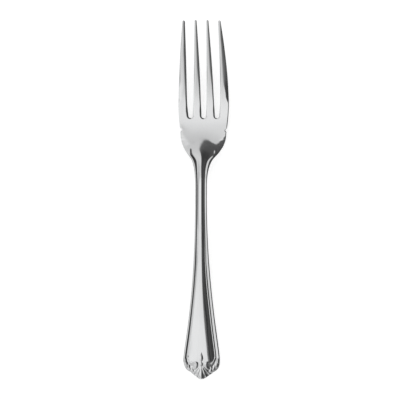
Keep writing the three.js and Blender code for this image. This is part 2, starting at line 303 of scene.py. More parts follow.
@dataclass
class Outline:
    """Half of the fork's outline seen from above, with the nick in the side of the head."""

    point: Pair = (1.1, 2.5)
    point_bluntness: float = 1.0
    flank: Pair = (4.5, 7.3)
    shoulder_turn: float = 1.4
    handle: Pair = (9.8, 9.4)
    handle_turn: float = 6.5
    handle_run_out: float = 48.0
    stem: Pair = (92.0, 2.975)
    stem_end: float = 97.8
    neck_turn: float = 11.25
    neck_turn_share: float = 0.4
    lobe: Pair = (124.3, 11.75)
    lobe_turn: float = 5.75
    head: Pair = (139.8, 13.0)
    head_turn: float = 5.3
    tip: Pair = (182.0, 9.7)
    tine_turn: float = 21.5
    tine_turn_drop: float = 0.45
    notch_place: float = 126.6
    notch_depth: float = 0.75
    notch_reach: float = 1.15
    drawn: Array = field(init=False)

    def __post_init__(self) -> None:
        """Draws the outline once, from the point of the handle to the tip of an outer tine."""
        stem_half, handle_half = self.stem[1], self.handle[1]
        neck = (self.stem_end + self.neck_turn, stem_half)
        shoulder = (self.lobe[0] - self.lobe_turn, self.lobe[1])
        share = self.neck_turn_share
        turn = (neck[0] + share * (shoulder[0] - neck[0]), neck[1] + share * (shoulder[1] - neck[1]))
        self.drawn = np.vstack([
            curve_points([(0.0, 0.0), (0.0, self.point_bluntness), self.point]),
            curve_points([self.flank, (self.flank[0] + self.shoulder_turn, handle_half), self.handle]),
            curve_points([self.handle, (self.handle[0] + self.handle_turn, handle_half),
                          (self.stem[0] - self.handle_run_out, stem_half), self.stem]),
            curve_points([(self.stem_end, stem_half), neck, turn]),
            curve_points([turn, shoulder, self.lobe]),
            curve_points([self.lobe, (self.head[0] - self.head_turn, self.head[1]), self.head]),
            curve_points([self.head, (self.tip[0] - self.tine_turn, self.head[1] - self.tine_turn_drop),
                          self.tip]),
        ])

    def half(self, place: Array) -> Array:
        """Half width at each place, without the nick."""
        return np.interp(place, self.drawn[:, 0], self.drawn[:, 1])

    def nick(self, place: Array) -> Array:
        """Depth of the round nick at each place."""
        away = np.clip(np.abs(np.asarray(place, float) - self.notch_place) / self.notch_reach, 0.0, 1.0)
        return self.notch_depth * (1.0 - away ** 2) ** 2


@dataclass
class TineSet:
    """Plan of the four tines: inner ones toe in slightly, outer ones follow the outline."""

    outline: Outline
    root: float = 133.825
    tip: float = 182.0
    inner_offset: float = 3.45
    inner_toe_in: float = 0.42
    inner_widths: tuple[float, float, float] = (4.05, 2.9, 1.0)
    outer_widths: tuple[float, float, float] = (4.6, 3.95, 1.2)
    outer_shortfall: float = 0.3
    full_setback: float = 21.0
    tip_round: float = 0.7
    root_swell: float = 0.22
    swell_run: float = 9.0

    def tip_of(self, band: Band) -> float:
        """Place of the tip of an inner or outer tine."""
        return self.tip - (self.outer_shortfall if band is Band.OUTER_TINE else 0.0)

    def edges(self, band: Band, place: Array) -> tuple[Array, Array]:
        """Edges of a tine of the right half.

        Args:
            band: Inner or outer tine.
            place: Places along the fork.

        Returns:
            Distance from the middle of the fork to the inside edge and to the outside edge.
        """
        root, full, tip = self.outer_widths if band is Band.OUTER_TINE else self.inner_widths
        drawn = curve_points([(self.root, root), (self.tip - self.full_setback, full), (self.tip, tip)])
        width = np.interp(place, drawn[:, 0], drawn[:, 1])
        swell = self.root_swell * (1.0 - smoothstep(place, self.root, self.root + self.swell_run))
        if band is Band.OUTER_TINE:
            outside = self.outline.half(place)
            return outside - width - swell, outside
        centre = self.inner_offset - self.inner_toe_in * (place - self.root) / (self.tip - self.root)
        return centre - width / 2 - swell, centre + width / 2 + swell


@dataclass
class ThreadBorder:
    """Two threads struck along the handle's border: a full one at the edge and a fine one inside it."""

    outline: Outline
    edge_width: Knots = ((18.0, 1.62), (38.0, 1.42))
    edge_height: Knots = ((62.0, 0.33), (92.0, 0.21))
    gap: float = 0.16
    fine_width: float = 0.8
    fine_height: float = 0.1
    share_of_half: Knots = ((40.0, 0.42), (70.0, 0.33), (98.0, 0.34), (108.0, 0.42))
    end_spread: float = 0.74
    spread_run: Pair = (104.0, 111.0)
    crest: Knots = (
        (0.0, 0.28), (60.0, 0.28), (80.0, 0.32), (98.0, 0.32), (105.0, 0.42), (110.0, 0.56), (114.0, 0.46))
    inner_parts: Pair = (0.7, 0.3)
    edge_start: Pair = (9.6, 11.4)
    edge_end: Pair = (107.0, 117.0)
    fine_start: Pair = (10.4, 11.6)
    fine_end: Pair = (60.0, 86.0)
    fine_least: float = 0.1
    bud: Pair = (6.5, 115.8)
    bud_half: Pair = (0.55, 1.0)
    bud_rise: float = 0.1

    def widths(self, place: Array) -> tuple[Array, Array, Array]:
        """Widths at each place.

        Args:
            place: Places along the fork.

        Returns:
            Width of the edge thread, of the fine thread with its gap, and of half the panel between them.
        """
        half = self.outline.half(place)
        most = eased(place, *self.share_of_half) * half
        spread = self.end_spread * smoothstep(place, *self.spread_run)
        edge = np.minimum(eased(place, *self.edge_width) + spread, most)
        fine = np.minimum(self.gap + self.fine_width, most / 2)
        fine = fine * (1.0 - (1.0 - self.fine_least) * smoothstep(place, *self.fine_end))
        return edge, fine, half - edge - fine

    def inner_slope(self, inset: Array, edge: Array, place: Array) -> Array:
        """Share of the edge thread's fall from its crest to the foot of its inner side.

        Args:
            inset: Distances from the outline.
            edge: Width of the edge thread.
            place: Places along the fork.

        Returns:
            0 from the outline to the crest, 1 at the foot and beyond.
        """
        crest = eased(place, *self.crest)
        inward = np.clip((inset / np.maximum(edge, TINY) - crest) / (1.0 - crest), 0.0, 1.0)
        straight, rounded = self.inner_parts
        return straight * inward + rounded * np.sin(0.5 * math.pi * inward) ** 2

    def relief(self, x: Array, place: Array) -> Array:
        """Height of the threads over the plate.

        Args:
            x: Distances from the middle of the fork.
            place: Places along the fork.

        Returns:
            Height at each point.
        """
        edge, fine, _ = self.widths(place)
        inset = self.outline.half(place) - np.abs(x)
        run = smoothstep(place, *self.edge_start) * (1.0 - smoothstep(place, *self.edge_end))
        height = eased(place, *self.edge_height) * run * (1.0 - self.inner_slope(inset, edge, place))
        gap = self.gap / (self.gap + self.fine_width)
        share = np.clip(((inset - edge) / np.maximum(fine, TINY) - gap) / (1.0 - gap), 0.0, 1.0)
        fine_run = smoothstep(place, *self.fine_start) * (1.0 - smoothstep(place, *self.fine_end))
        height = height + self.fine_height * fine_run * np.sin(math.pi * share) ** 2
        away = np.hypot((np.abs(x) - self.bud[0]) / self.bud_half[0],
                        (place - self.bud[1]) / self.bud_half[1])
        return height + self.bud_rise * np.exp(-away ** 2)


@dataclass
class ShellEnd:
    """Struck end of the handle: fluted shell, leaf, boss, scrolls and gadroons."""

    hinge: float = 7.4
    flutes: int = 6
    spread: float = 126.0
    spread_fade: float = 3.0
    flute_slope: float = 0.42
    flute_deep: float = 0.3
    flute_valley: float = 0.62
    flute_start: Pair = (1.1, 2.4)
    dome_slope: float = 0.13
    dome_ridge: float = 0.8
    dome_half: float = 5.6
    dome_fade: Pair = (4.8, 9.6)
    leaf: Pair = (9.0, 13.5)
    leaf_half: float = 0.9
    leaf_rise: float = 0.27
    leaf_skew: float = 0.75
    leaf_fullness: float = 0.9
    leaf_ends: Pair = (0.02, 0.98)
    leaf_swell: float = 0.5
    boss_place: float = 7.75
    boss_half: Pair = (0.75, 1.15)
    boss_rise: float = 0.2
    scroll: Knots = ((3.6, 9.3), (2.5, 9.0), (2.0, 7.6), (2.5, 6.0), (3.7, 4.8))
    scroll_run: Knots = ((4.6, 0.0), (6.0, 1.0), (8.4, 1.0), (9.3, 0.0))
    scroll_rise: float = 0.3
    scroll_inside: float = 0.9
    scroll_outside: float = 1.2
    tail: Knots = ((7.0, 11.6), (6.9, 10.4), (6.6, 9.4), (6.0, 8.6), (5.1, 8.0))
    tail_half: float = 0.34
    tail_rise: float = 0.12
    band: Knots = (
        (8.65, 11.6), (8.6, 10.0), (8.15, 8.4), (7.3, 6.6), (6.05, 5.1), (4.5, 3.9), (3.2, 3.1))
    band_inside: float = 1.0
    band_rise: float = 0.3
    band_run: Knots = ((3.0, 0.0), (4.2, 1.0), (9.8, 1.0), (11.4, 0.0))
    lobes: tuple[tuple[float, float, float, float], ...] = (
        (4.6, 4.2, 5.1, 6.0), (6.2, 5.1, 6.7, 7.0), (7.55, 6.5, 7.9, 8.2), (8.35, 8.7, 8.3, 10.2))
    lobe_half: float = 0.78
    lobe_rise: float = 0.2
    curve_steps: int = 24
    band_steps: int = 40

    def shell(self, x: Array, place: Array) -> Array:
        """Height of the sharp ridges between the flutes of the shell.

        Args:
            x: Distances from the middle of the fork.
            place: Places along the fork.

        Returns:
            Height over the plate at each point.
        """
        along, across = self.hinge - place, x
        radius = np.hypot(along, across)
        angle = np.degrees(np.arctan2(across, along))
        pitch = self.spread / self.flutes
        share = np.mod(np.abs(angle), pitch) / pitch
        run = np.where(share < self.flute_valley, self.flute_valley, 1.0 - self.flute_valley)
        within = smoothstep(self.spread / 2 - np.abs(angle), -self.spread_fade, 0.0)
        rise = np.minimum(self.flute_deep, self.flute_slope / 4 * radius * math.radians(pitch))
        rise = rise * smoothstep(radius, *self.flute_start) * within
        return rise * ((share - self.flute_valley) / run) ** 2

    def dome(self, x: Array, place: Array) -> Array:
        """Fall of the shell to both sides of its soft middle ridge.

        Args:
            x: Distances from the middle of the fork.
            place: Places along the fork.

        Returns:
            Fall below the ridge at each point.
        """
        near = self.dome_half * np.tanh((np.abs(x) / self.dome_half) ** 3) ** (1.0 / 3.0)
        fall = np.sqrt(near * near + self.dome_ridge ** 2) - self.dome_ridge
        return self.dome_slope * fall * (1.0 - smoothstep(place, *self.dome_fade))

    def leaf_and_boss(self, x: Array, place: Array) -> Array:
        """Height of the leaf that points up the handle and of the boss at its foot.

        Args:
            x: Distances from the middle of the fork.
            place: Places along the fork.

        Returns:
            Height over the plate at each point.
        """
        share = np.clip((place - self.leaf[0]) / (self.leaf[1] - self.leaf[0]), 0.0, 1.0)
        half = self.leaf_half * np.sin(math.pi * share ** self.leaf_skew) ** self.leaf_fullness + TINY
        blade = self.leaf_rise * np.clip(1.0 - np.abs(x) / half, 0.0, 1.0) ** self.leaf_fullness
        blade = blade * np.sin(math.pi * np.clip(share, *self.leaf_ends)) ** self.leaf_swell
        away = np.hypot(x / self.boss_half[0], (place - self.boss_place) / self.boss_half[1])
        return np.maximum(blade, self.boss_rise * np.maximum(0.0, 1.0 - away ** 2))

    @staticmethod
    def beside(crest: Array, side: Array, place: Array) -> tuple[Array, Array]:
        """Distances of points from a crest, and how far they lie outside it at their place."""
        return line_distance(side, place, crest), side - np.interp(place, crest[::-1, 1], crest[::-1, 0])

    def scrolls(self, x: Array, place: Array) -> Array:
        """Height of the scrolls, steep on their inner side, and of the threads that curl into them.

        Args:
            x: Distances from the middle of the fork.
            place: Places along the fork.

        Returns:
            Height over the plate at each point.
        """
        side = np.abs(x)
        near, out = self.beside(curve_points(self.scroll, self.curve_steps), side, place)
        share = np.clip(near / np.where(out > 0.0, self.scroll_outside, self.scroll_inside), 0.0, 1.0)
        roll = self.scroll_rise * eased(place, *self.scroll_run) * (1.0 - share)
        beside = line_distance(side, place, curve_points(self.tail, self.curve_steps)) / self.tail_half
        return np.maximum(roll, self.tail_rise * np.maximum(0.0, 1.0 - beside ** 2))

    def gadroons(self, x: Array, place: Array) -> Array:
        """Height of the rolled band along both shoulders with the lobes on it.

        Args:
            x: Distances from the middle of the fork.
            place: Places along the fork.

        Returns:
            Height over the plate at each point.
        """
        side = np.abs(x)
        near, out = self.beside(curve_points(self.band, self.band_steps), side, place)
        share = np.clip(np.where(out < 0.0, near / self.band_inside, 0.0), 0.0, 1.0)
        roll = self.band_rise * eased(place, *self.band_run) * (1.0 - share)
        lobes = [line_distance(side, place, np.array([lobe[:2], lobe[2:]])) for lobe in self.lobes]
        away = np.clip(np.minimum.reduce(lobes) / self.lobe_half, 0.0, 1.0)
        return roll + self.lobe_rise * (1.0 - away)

    def relief(self, x: Array, place: Array) -> Array:
        """Height of the whole ornament over the plate at each point."""
        parts = (self.shell, self.leaf_and_boss, self.scrolls, self.gadroons)
        return np.maximum.reduce([part(x, place) for part in parts]) - self.dome(x, place)


@dataclass
class ForkForm:
    """Heights of the fork's face and back over its plan."""

    side: SideProfile
    outline: Outline
    border: ThreadBorder
    shell_end: ShellEnd
    end_crown: float = 0.2
    full_crown: float = 0.95
    panel_start: float = 32.0
    flat_middle: float = 1.6
    panel_crown: float = 0.62
    stem_crown: float = 0.7
    neck_crown: float = 0.75
    stem_back_crown: float = 0.8
    dish_radius: float = 200.0
    ornament_end: float = 13.8
    stem_end: float = 97.8
    crown_full: float = 111.0
    crown_end: float = 123.5
    crown_point: Knots = ((116.0, 1.0), (119.0, 0.8), (121.0, 0.47), (123.5, 0.36))
    crown_fall: Knots = ((0.0, 0.3), (60.0, 0.32), (74.0, 0.45), (86.0, 1.4), (98.0, 3.0))
    dish_start: float = 117.3
    dish_full: float = 128.3
    crown_least: float = 0.001
    back_crown_run: Pair = (12.0, 124.3)
    outer_round: Knots = (
        (0.0, 0.75), (14.0, 0.85), (60.0, 0.8), (98.0, 0.6), (113.0, 0.8), (115.5, 1.8), (118.6, 5.2),
        (121.0, 3.9), (122.6, 2.4), (124.5, 1.2), (127.5, 0.55), (139.6, 0.5), (143.4, 2.1), (150.0, 2.8),
        (160.0, 2.8), (170.0, 1.9), (182.0, 0.4))
    edge_fall: Knots = (
        (112.0, 0.42), (117.0, 0.08), (125.0, 0.08), (131.0, 0.3), (139.0, 0.22), (147.0, 0.22),
        (152.0, 0.3))
    slot_round: Knots = (
        (132.0, 0.7), (134.0, 0.9), (136.0, 1.05), (140.0, 0.7), (147.0, 0.85), (160.0, 1.4), (170.0, 1.7))

    def lift(self, x: Array, place: Array) -> Array:
        """Height of the middle of the metal, which dishes across the head."""
        dish = smoothstep(place, self.dish_start, self.dish_full) / (2.0 * self.dish_radius)
        return self.side.height(place) + dish * x * x

    def crown(self, x: Array, place: Array) -> Array:
        """Fullness of the face, which falls on through the fine thread to the edge thread.

        Args:
            x: Distances from the middle of the fork.
            place: Places along the fork.

        Returns:
            Height over the plate at each point.
        """
        height = eased(place, (0.0, self.end_crown), (self.ornament_end, self.full_crown),
                       (self.panel_start, self.panel_crown), (self.stem_end, self.stem_crown),
                       (self.crown_full, self.neck_crown), (self.crown_end, self.crown_least))
        _, fine, panel = (np.maximum(width, TINY) for width in self.border.widths(place))
        panel = panel * eased(place, *self.crown_point)
        steepest = eased(place, *self.crown_fall)
        bend = 2.0 * height / (panel ** 2 * steepest)
        power = eased(place, (self.ornament_end, self.flat_middle), (self.panel_start, 1.0))
        side = np.abs(x)
        side = np.where(side < panel, panel * (np.minimum(side, panel) / panel) ** power, side)
        full = log_cosh(bend * panel)
        share = np.maximum(0.0, 1.0 - log_cosh(bend * np.minimum(side, panel)) / full)
        late = smoothstep(place, self.stem_end, self.crown_full)
        rise = steepest / bend * full * share ** (1.0 + late)
        slope = steepest * np.tanh(bend * panel) * (1.0 - late)
        return rise - slope * np.clip(side - panel, 0.0, fine)

    def face(self, x: Array, place: Array, drop: Array) -> Array:
        """Height of the face.

        Args:
            x: Distances from the middle of the fork.
            place: Places along the fork.
            drop: How far the rolled edges lie below the full face.

        Returns:
            Height over the table.
        """
        height = self.side.half_thickness(place) + self.border.relief(x, place) + self.crown(x, place)
        near = place < self.ornament_end
        height[near] += self.shell_end.relief(x[near], place[near])
        return self.lift(x, place) + height - drop

    def back(self, x: Array, place: Array, face: Array, rise: Array) -> Array:
        """Height of the plain back, which is flat where it rests and rounds up to the rim.

        Args:
            x: Distances from the middle of the fork.
            place: Places along the fork.
            face: Height of the face.
            rise: Share by which the back rises to the rim of the face.

        Returns:
            Height over the table.
        """
        start, end = self.back_crown_run
        full = eased(place, (start, 0.0), (self.stem_end, self.stem_back_crown), (end, 0.0))
        across = np.clip(x / np.maximum(self.outline.half(place), TINY), -1.0, 1.0)
        depth = self.side.half_thickness(place) + full * (1.0 - across ** 2)
        plain = np.maximum(0.0, self.lift(x, place) - depth)
        return plain + (face - plain) * rise


@dataclass
class ForkPlan:
    """Columns and rows of the mesh in plan: x across the fork and the place along it."""

    outline: Outline
    tines: TineSet
    border: ThreadBorder
    cuts: tuple[float, ...]
    tine_columns: int = 20
    slot_columns: int = 16
    thread_columns: int = 12
    fine_columns: int = 9
    head_start: float = 127.8
    squeeze: float = 0.9
    start_pull: float = 5.0
    root_pull: float = 3.4
    nose_rows: int = 10
    shell_pitch: float = 0.13
    row_gap: float = 0.05
    nick_start: float = 125.3
    pitches: tuple[float, ...] = (0.8, 0.7, 0.4, 0.25, 0.1)
    head_blend: Pair = (99.0, 123.0)
    nick_power: int = 8
    rim_gap: float = 0.011
    rim_growth: float = 1.2
    rim_rows: int = 18
    palm_reach: float = 0.93
    shaft_rows: int = 90
    cap_rows: int = 10
    x: Array = field(init=False)
    place: Array = field(init=False)
    root_row: int = field(init=False)

    def __post_init__(self) -> None:
        """Lays out all columns and rows."""
        body = self.body_rows()
        x_body, p_body = self.lay_body(body)
        x_palm, p_palm = self.lay_palm()
        x_tines, p_tines = self.lay_tines()
        self.root_row = len(body) + len(p_palm) - 1
        self.x = np.vstack([x_body, x_palm, x_tines])
        self.place = np.vstack([p_body, p_palm, p_tines])

    @property
    def middle_column(self) -> int:
        """Number of the column along the middle of the fork."""
        return 2 * self.tine_columns + 3 * self.slot_columns // 2

    def bands(self, slots: bool) -> list[tuple[Band, int, int]]:
        """Finds the slots or the tines.

        Args:
            slots: Whether slots are wanted, or else tines.

        Returns:
            Band kinds with their first and last column, from left to right.
        """
        half = [Band.OUTER_TINE, Band.SIDE_SLOT, Band.INNER_TINE]
        found, first = [], 0
        for kind in half + [Band.MIDDLE_SLOT] + half[::-1]:
            last = first + (self.slot_columns if kind.is_slot else self.tine_columns)
            if kind.is_slot == slots:
                found.append((kind, first, last))
            first = last
        return found

    def body_rows(self) -> Array:
        """Lays out the straight rows of the mesh.

        Returns:
            Their places, from the point of the handle to the start of the palm's fanned rows.
        """
        shell, stem_start, stem_end, lobe = self.cuts
        point = self.outline.point[0]
        runs = [point * np.linspace(0.0, 1.0, self.nose_rows + 1)[:-1] ** 2,
                np.arange(point, shell - self.row_gap, self.shell_pitch)]
        ends = (shell, stem_start, stem_end, lobe, self.nick_start, self.head_start)
        for start, end, pitch in zip(ends, ends[1:], self.pitches):
            count = int(math.ceil((end - start) / pitch))
            runs.append(np.linspace(start, end, count + 1)[:-1])
        return np.concatenate(runs)

    def head_fractions(self) -> Array:
        """Columns of the right half at the start of the palm.

        Returns:
            Shares of the half width, from the middle outwards.
        """
        half = float(self.outline.half(self.head_start))
        first, second, third = np.array(self.root_walls()) + self.squeeze * np.array([1.0, -1.0, 1.0])
        shares = crowded_steps(self.tine_columns)
        middle = np.linspace(0.0, first, self.slot_columns // 2 + 1)
        inner = first + (second - first) * shares
        side = np.linspace(second, third, self.slot_columns + 1)
        outer = third + (half - third) * shares
        return np.concatenate([middle, inner[1:], side[1:], outer[1:]]) / half

    def lay_body(self, rows: Array) -> tuple[Array, Array]:
        """Columns of the handle, stem and shoulders.

        Args:
            rows: Places of the rows.

        Returns:
            x and place of every point, one row of points for each place.
        """
        edge, fine, panel = (width[:, None] for width in self.border.widths(rows))
        half = self.outline.half(rows)[:, None]
        panel_columns = self.middle_column - self.thread_columns - self.fine_columns
        steps = np.linspace(0.0, 1.0, self.fine_columns + 1)[1:]
        turns = crowded_steps(self.thread_columns)[1:]
        handle = np.hstack([panel * np.linspace(0.0, 1.0, panel_columns + 1),
                            panel + fine * steps, panel + fine + edge * turns])
        shares = self.head_fractions()[None, :]
        head = shares * half - shares ** self.nick_power * self.outline.nick(rows)[:, None]
        blend = smoothstep(rows, *self.head_blend)[:, None]
        right = handle + (head - handle) * blend
        x = np.hstack([-right[:, :0:-1], right])
        return x, np.repeat(rows[:, None], x.shape[1], axis=1)

    def fan(self, start_x: float, end: Pair, lean: float, levels: Array) -> Array:
        """One column of the palm, from its straight rows up to a slot's root.

        Args:
            start_x: x where the column leaves the straight rows.
            end: x and place where it arrives.
            lean: Angle from the length of the fork at which it arrives, towards +X.
            levels: Shares of the column, from 0 to 1.

        Returns:
            x and place at each level.
        """
        share = levels[:, None]
        start, arrive = np.array([start_x, self.head_start]), np.array(end)
        leave_pull = np.array([0.0, self.start_pull])
        arrive_pull = self.root_pull * np.array([math.sin(lean), math.cos(lean)])
        return ((2 * share ** 3 - 3 * share ** 2 + 1) * start
                + (share ** 3 - 2 * share ** 2 + share) * leave_pull
                + (3 * share ** 2 - 2 * share ** 3) * arrive + (share ** 3 - share ** 2) * arrive_pull)

    def lay_palm(self) -> tuple[Array, Array]:
        """Columns of the palm, which fan out round the roots of the slots.

        Returns:
            x and place of every point, one row of points for each level.
        """
        gaps = self.rim_gap * self.rim_growth ** np.arange(self.rim_rows)
        below = np.concatenate([[0.0], np.cumsum(gaps)])
        below = below[below < self.palm_reach]
        levels = np.concatenate([[0.0], 1.0 - below[::-1]])
        half_start = float(self.outline.half(self.head_start))
        right = self.head_fractions() * half_start
        starts = np.concatenate([-right[:0:-1], right])
        root = self.tines.root
        shares = crowded_steps(self.tine_columns)[None, :]
        x = np.zeros((len(levels), len(starts)))
        place = np.zeros_like(x)
        walls: dict[int, Array] = {}
        for _, first, last in self.bands(slots=True):
            left, right_wall = self.slot_walls(first, last)
            centre, radius = 0.5 * (left + right_wall), 0.5 * (right_wall - left)
            for column in range(first, last + 1):
                turn = math.pi * ((column - first) / (last - first) - 0.5)
                end = (centre + radius * math.sin(turn), root - radius * math.cos(turn))
                walls[column] = self.fan(starts[column], end, -0.5 * turn, levels)
                x[:, column], place[:, column] = walls[column].T
        edge_place = self.head_start + (root - self.head_start) * levels
        rim = np.stack([self.outline.half(edge_place), edge_place], axis=1)
        last_column = len(starts) - 1
        walls[0], walls[last_column] = rim * np.array([-1.0, 1.0]), rim
        for _, first, last in self.bands(slots=False):
            left, right_line = walls[first][:, None, :], walls[last][:, None, :]
            points = left + (right_line - left) * shares[:, :, None]
            x[:, first:last + 1], place[:, first:last + 1] = points[:, :, 0], points[:, :, 1]
        return x, place

    def root_walls(self) -> tuple[float, float, float]:
        """Walls of the right half's slots at their roots.

        Returns:
            x of the middle slot's wall and of the side slot's two walls.
        """
        inner = self.tines.edges(Band.INNER_TINE, self.tines.root)
        outer = self.tines.edges(Band.OUTER_TINE, self.tines.root)
        return float(inner[0]), float(inner[1]), float(outer[0])

    def slot_walls(self, first: int, last: int) -> Pair:
        """Walls of one slot at its root.

        Args:
            first: First column of the slot.
            last: Its last column.

        Returns:
            x of its left and its right wall.
        """
        inside, outside, outer_inside = self.root_walls()
        if first < self.middle_column < last:
            return -inside, inside
        return (outside, outer_inside) if first > self.middle_column else (-outer_inside, -outside)

    def lay_tines(self) -> tuple[Array, Array]:
        """Columns of the tines above the roots; those of the slots stay at the root and are deleted later.

        Returns:
            x and place of every point, one row of points for each step.
        """
        shaft = np.linspace(0.0, 1.0, self.shaft_rows + 1)[1:]
        cap = np.sin(np.linspace(0.0, math.pi / 2, self.cap_rows + 1)[1:])
        size = (len(shaft) + len(cap), 2 * self.middle_column + 1)
        x, place = np.zeros(size), np.full(size, self.tines.root)
        shares = crowded_steps(self.tine_columns)[None, :]
        for kind, first, last in self.bands(slots=False):
            tip = self.tines.tip_of(kind)
            straight = self.tines.root + (tip - self.tines.tip_round - self.tines.root) * shaft
            rows = np.concatenate([straight, tip - self.tines.tip_round * (1.0 - cap)])
            shrink = np.concatenate([np.ones(len(shaft)), np.sqrt(np.maximum(0.0, 1.0 - cap ** 2))])
            inside, outside = self.tines.edges(kind, np.minimum(rows, tip - self.tines.tip_round))
            if first < self.middle_column:
                inside, outside = -outside, -inside
            centre, half = 0.5 * (inside + outside), 0.5 * (outside - inside) * shrink
            x[:, first:last + 1] = (centre - half)[:, None] + 2.0 * half[:, None] * shares
            place[:, first:last + 1] = rows[:, None]
        return x, place

    def rim_lines(self) -> tuple[Array, list[Array]]:
        """Lines of the mesh's own rim.

        Returns:
            The outer edge as one line, and the edges along the slots, one line for each.
        """
        points = np.stack([self.x, self.place], axis=2)
        root = self.root_row
        tip_left, tip_right = self.tine_columns // 2, self.x.shape[1] - 1 - self.tine_columns // 2
        outer = np.vstack([points[-1:, tip_left], points[::-1, 0], points[:, -1], points[-1:, tip_right]])
        slots = [np.vstack([points[:root:-1, first], points[root, first:last + 1], points[root + 1:, last]])
                 for _, first, last in self.bands(slots=True)]
        return outer, slots


@dataclass
class NodeBoard:
    """Nodes of a material, group or world, with short ways to add to them."""

    tree: bpy.types.NodeTree

    def feed(self, node: bpy.types.Node, values: dict[str | int, object]) -> bpy.types.Node:
        """Fills the inputs of a node.

        Args:
            node: The node.
            values: Names or numbers of its inputs, with a value or with the socket that feeds it.

        Returns:
            The same node.
        """
        for name, value in values.items():
            if isinstance(value, bpy.types.NodeSocket):
                self.tree.links.new(value, node.inputs[name])
            else:
                node.inputs[name].default_value = value
        return node

    def add(self, kind: str, values: dict[str | int, object] | None = None,
            **settings: object) -> bpy.types.Node:
        """Adds a node.

        Args:
            kind: Type of the node without its prefix.
            values: What its inputs get.
            **settings: Its properties, set before its inputs.

        Returns:
            The node.
        """
        node = self.tree.nodes.new(f"ShaderNode{kind}")
        for name, value in settings.items():
            setattr(node, name, value)
        return self.feed(node, values or {})

    def maths(self, operation: str, *values: bpy.types.NodeSocket | float) -> bpy.types.NodeSocket:
        """Result of one sum of sockets or plain numbers."""
        return self.add("Math", dict(enumerate(values)), operation=operation).outputs[0]

    def blend(self, kind: str, share: bpy.types.NodeSocket | float, first: bpy.types.NodeSocket,
              second: bpy.types.NodeSocket) -> bpy.types.NodeSocket:
        """Two colours, mixed or multiplied.

        Args:
            kind: Name of the way to blend.
            share: How much of the second colour is used.
            first: First colour.
            second: Second colour.

        Returns:
            Socket with the blended colour.
        """
        colours = {"Factor": share, "A": first, "B": second}
        return self.add("Mix", colours, data_type="RGBA", blend_type=kind).outputs["Result"]

    def ramp(self, value: bpy.types.NodeSocket, span: Pair, stops: Knots) -> bpy.types.NodeSocket:
        """Grey level that runs through stops.

        Args:
            value: Socket that is read.
            span: Values at the start and the end of the ramp.
            stops: Values with their grey levels, in order.

        Returns:
            Socket with the grey level.
        """
        place = self.add("MapRange", {"From Min": span[0], "From Max": span[1], "Value": value})
        ramp = self.add("ValToRGB", {"Fac": place.outputs["Result"]})
        while len(ramp.color_ramp.elements) < len(stops):
            ramp.color_ramp.elements.new(0.5)
        for element, (stop, level) in zip(ramp.color_ramp.elements, stops):
            element.position = (stop - span[0]) / (span[1] - span[0])
            element.color = (level, level, level, 1.0)
        return ramp.outputs["Color"]


@dataclass(frozen=True)
class PolishedSteel:
    """Mirror-polished stainless steel with fine lengthwise polishing lines and soft smudges."""

    colour: tuple[float, float, float] = (0.77, 0.775, 0.78)
    shade: Pair = (0.96, 1.04)
    line_scale: tuple[float, float, float] = (5200.0, 120.0, 1500.0)
    line_detail: float = 3.0
    roughness: float = 0.085
    gloss_spread: float = 0.025
    smudge_scale: float = 90.0
    smudge_detail: float = 4.0
    smudge_span: Pair = (0.3, 0.7)

    def polish_lines(self) -> bpy.types.NodeTree:
        """Node group of polishing lines along the fork.

        Returns:
            Group with the position as input and the lines as output, from 0 to 1.
        """
        group = bpy.data.node_groups.new("polish_lines", "ShaderNodeTree")
        group.interface.new_socket("Position", in_out="INPUT", socket_type="NodeSocketVector")
        group.interface.new_socket("Lines", in_out="OUTPUT", socket_type="NodeSocketFloat")
        board = NodeBoard(group)
        start, end = group.nodes.new("NodeGroupInput"), group.nodes.new("NodeGroupOutput")
        stretch = board.add("Mapping", {"Vector": start.outputs["Position"], "Scale": self.line_scale})
        lines = board.add("TexNoise", {
            "Vector": stretch.outputs["Vector"], "Scale": 1.0, "Detail": self.line_detail})
        board.feed(end, {"Lines": lines.outputs["Fac"]})
        return group

    def build(self) -> bpy.types.Material:
        """Makes the steel.

        Returns:
            The finished material.
        """
        material = bpy.data.materials.new("polished_steel")
        material.use_nodes = True
        board = NodeBoard(material.node_tree)
        place = board.add("TexCoord").outputs["Object"]
        lines = board.add("Group", {"Position": place}, node_tree=self.polish_lines())
        smudge = board.add("TexNoise", {
            "Vector": place, "Scale": self.smudge_scale, "Detail": self.smudge_detail})
        shade = board.add("MapRange", {
            "Value": lines.outputs["Lines"], "To Min": self.shade[0], "To Max": self.shade[1]})
        colour = board.add("VectorMath", {0: self.colour, "Scale": shade.outputs["Result"]},
                           operation="SCALE")
        gloss = board.add("MapRange", {
            "Value": smudge.outputs["Fac"], "From Min": self.smudge_span[0], "From Max": self.smudge_span[1],
            "To Min": self.roughness - self.gloss_spread, "To Max": self.roughness + self.gloss_spread})
        board.feed(material.node_tree.nodes["Principled BSDF"], {
            "Metallic": 1.0, "Base Color": colour.outputs["Vector"], "Roughness": gloss.outputs["Result"]})
        return material


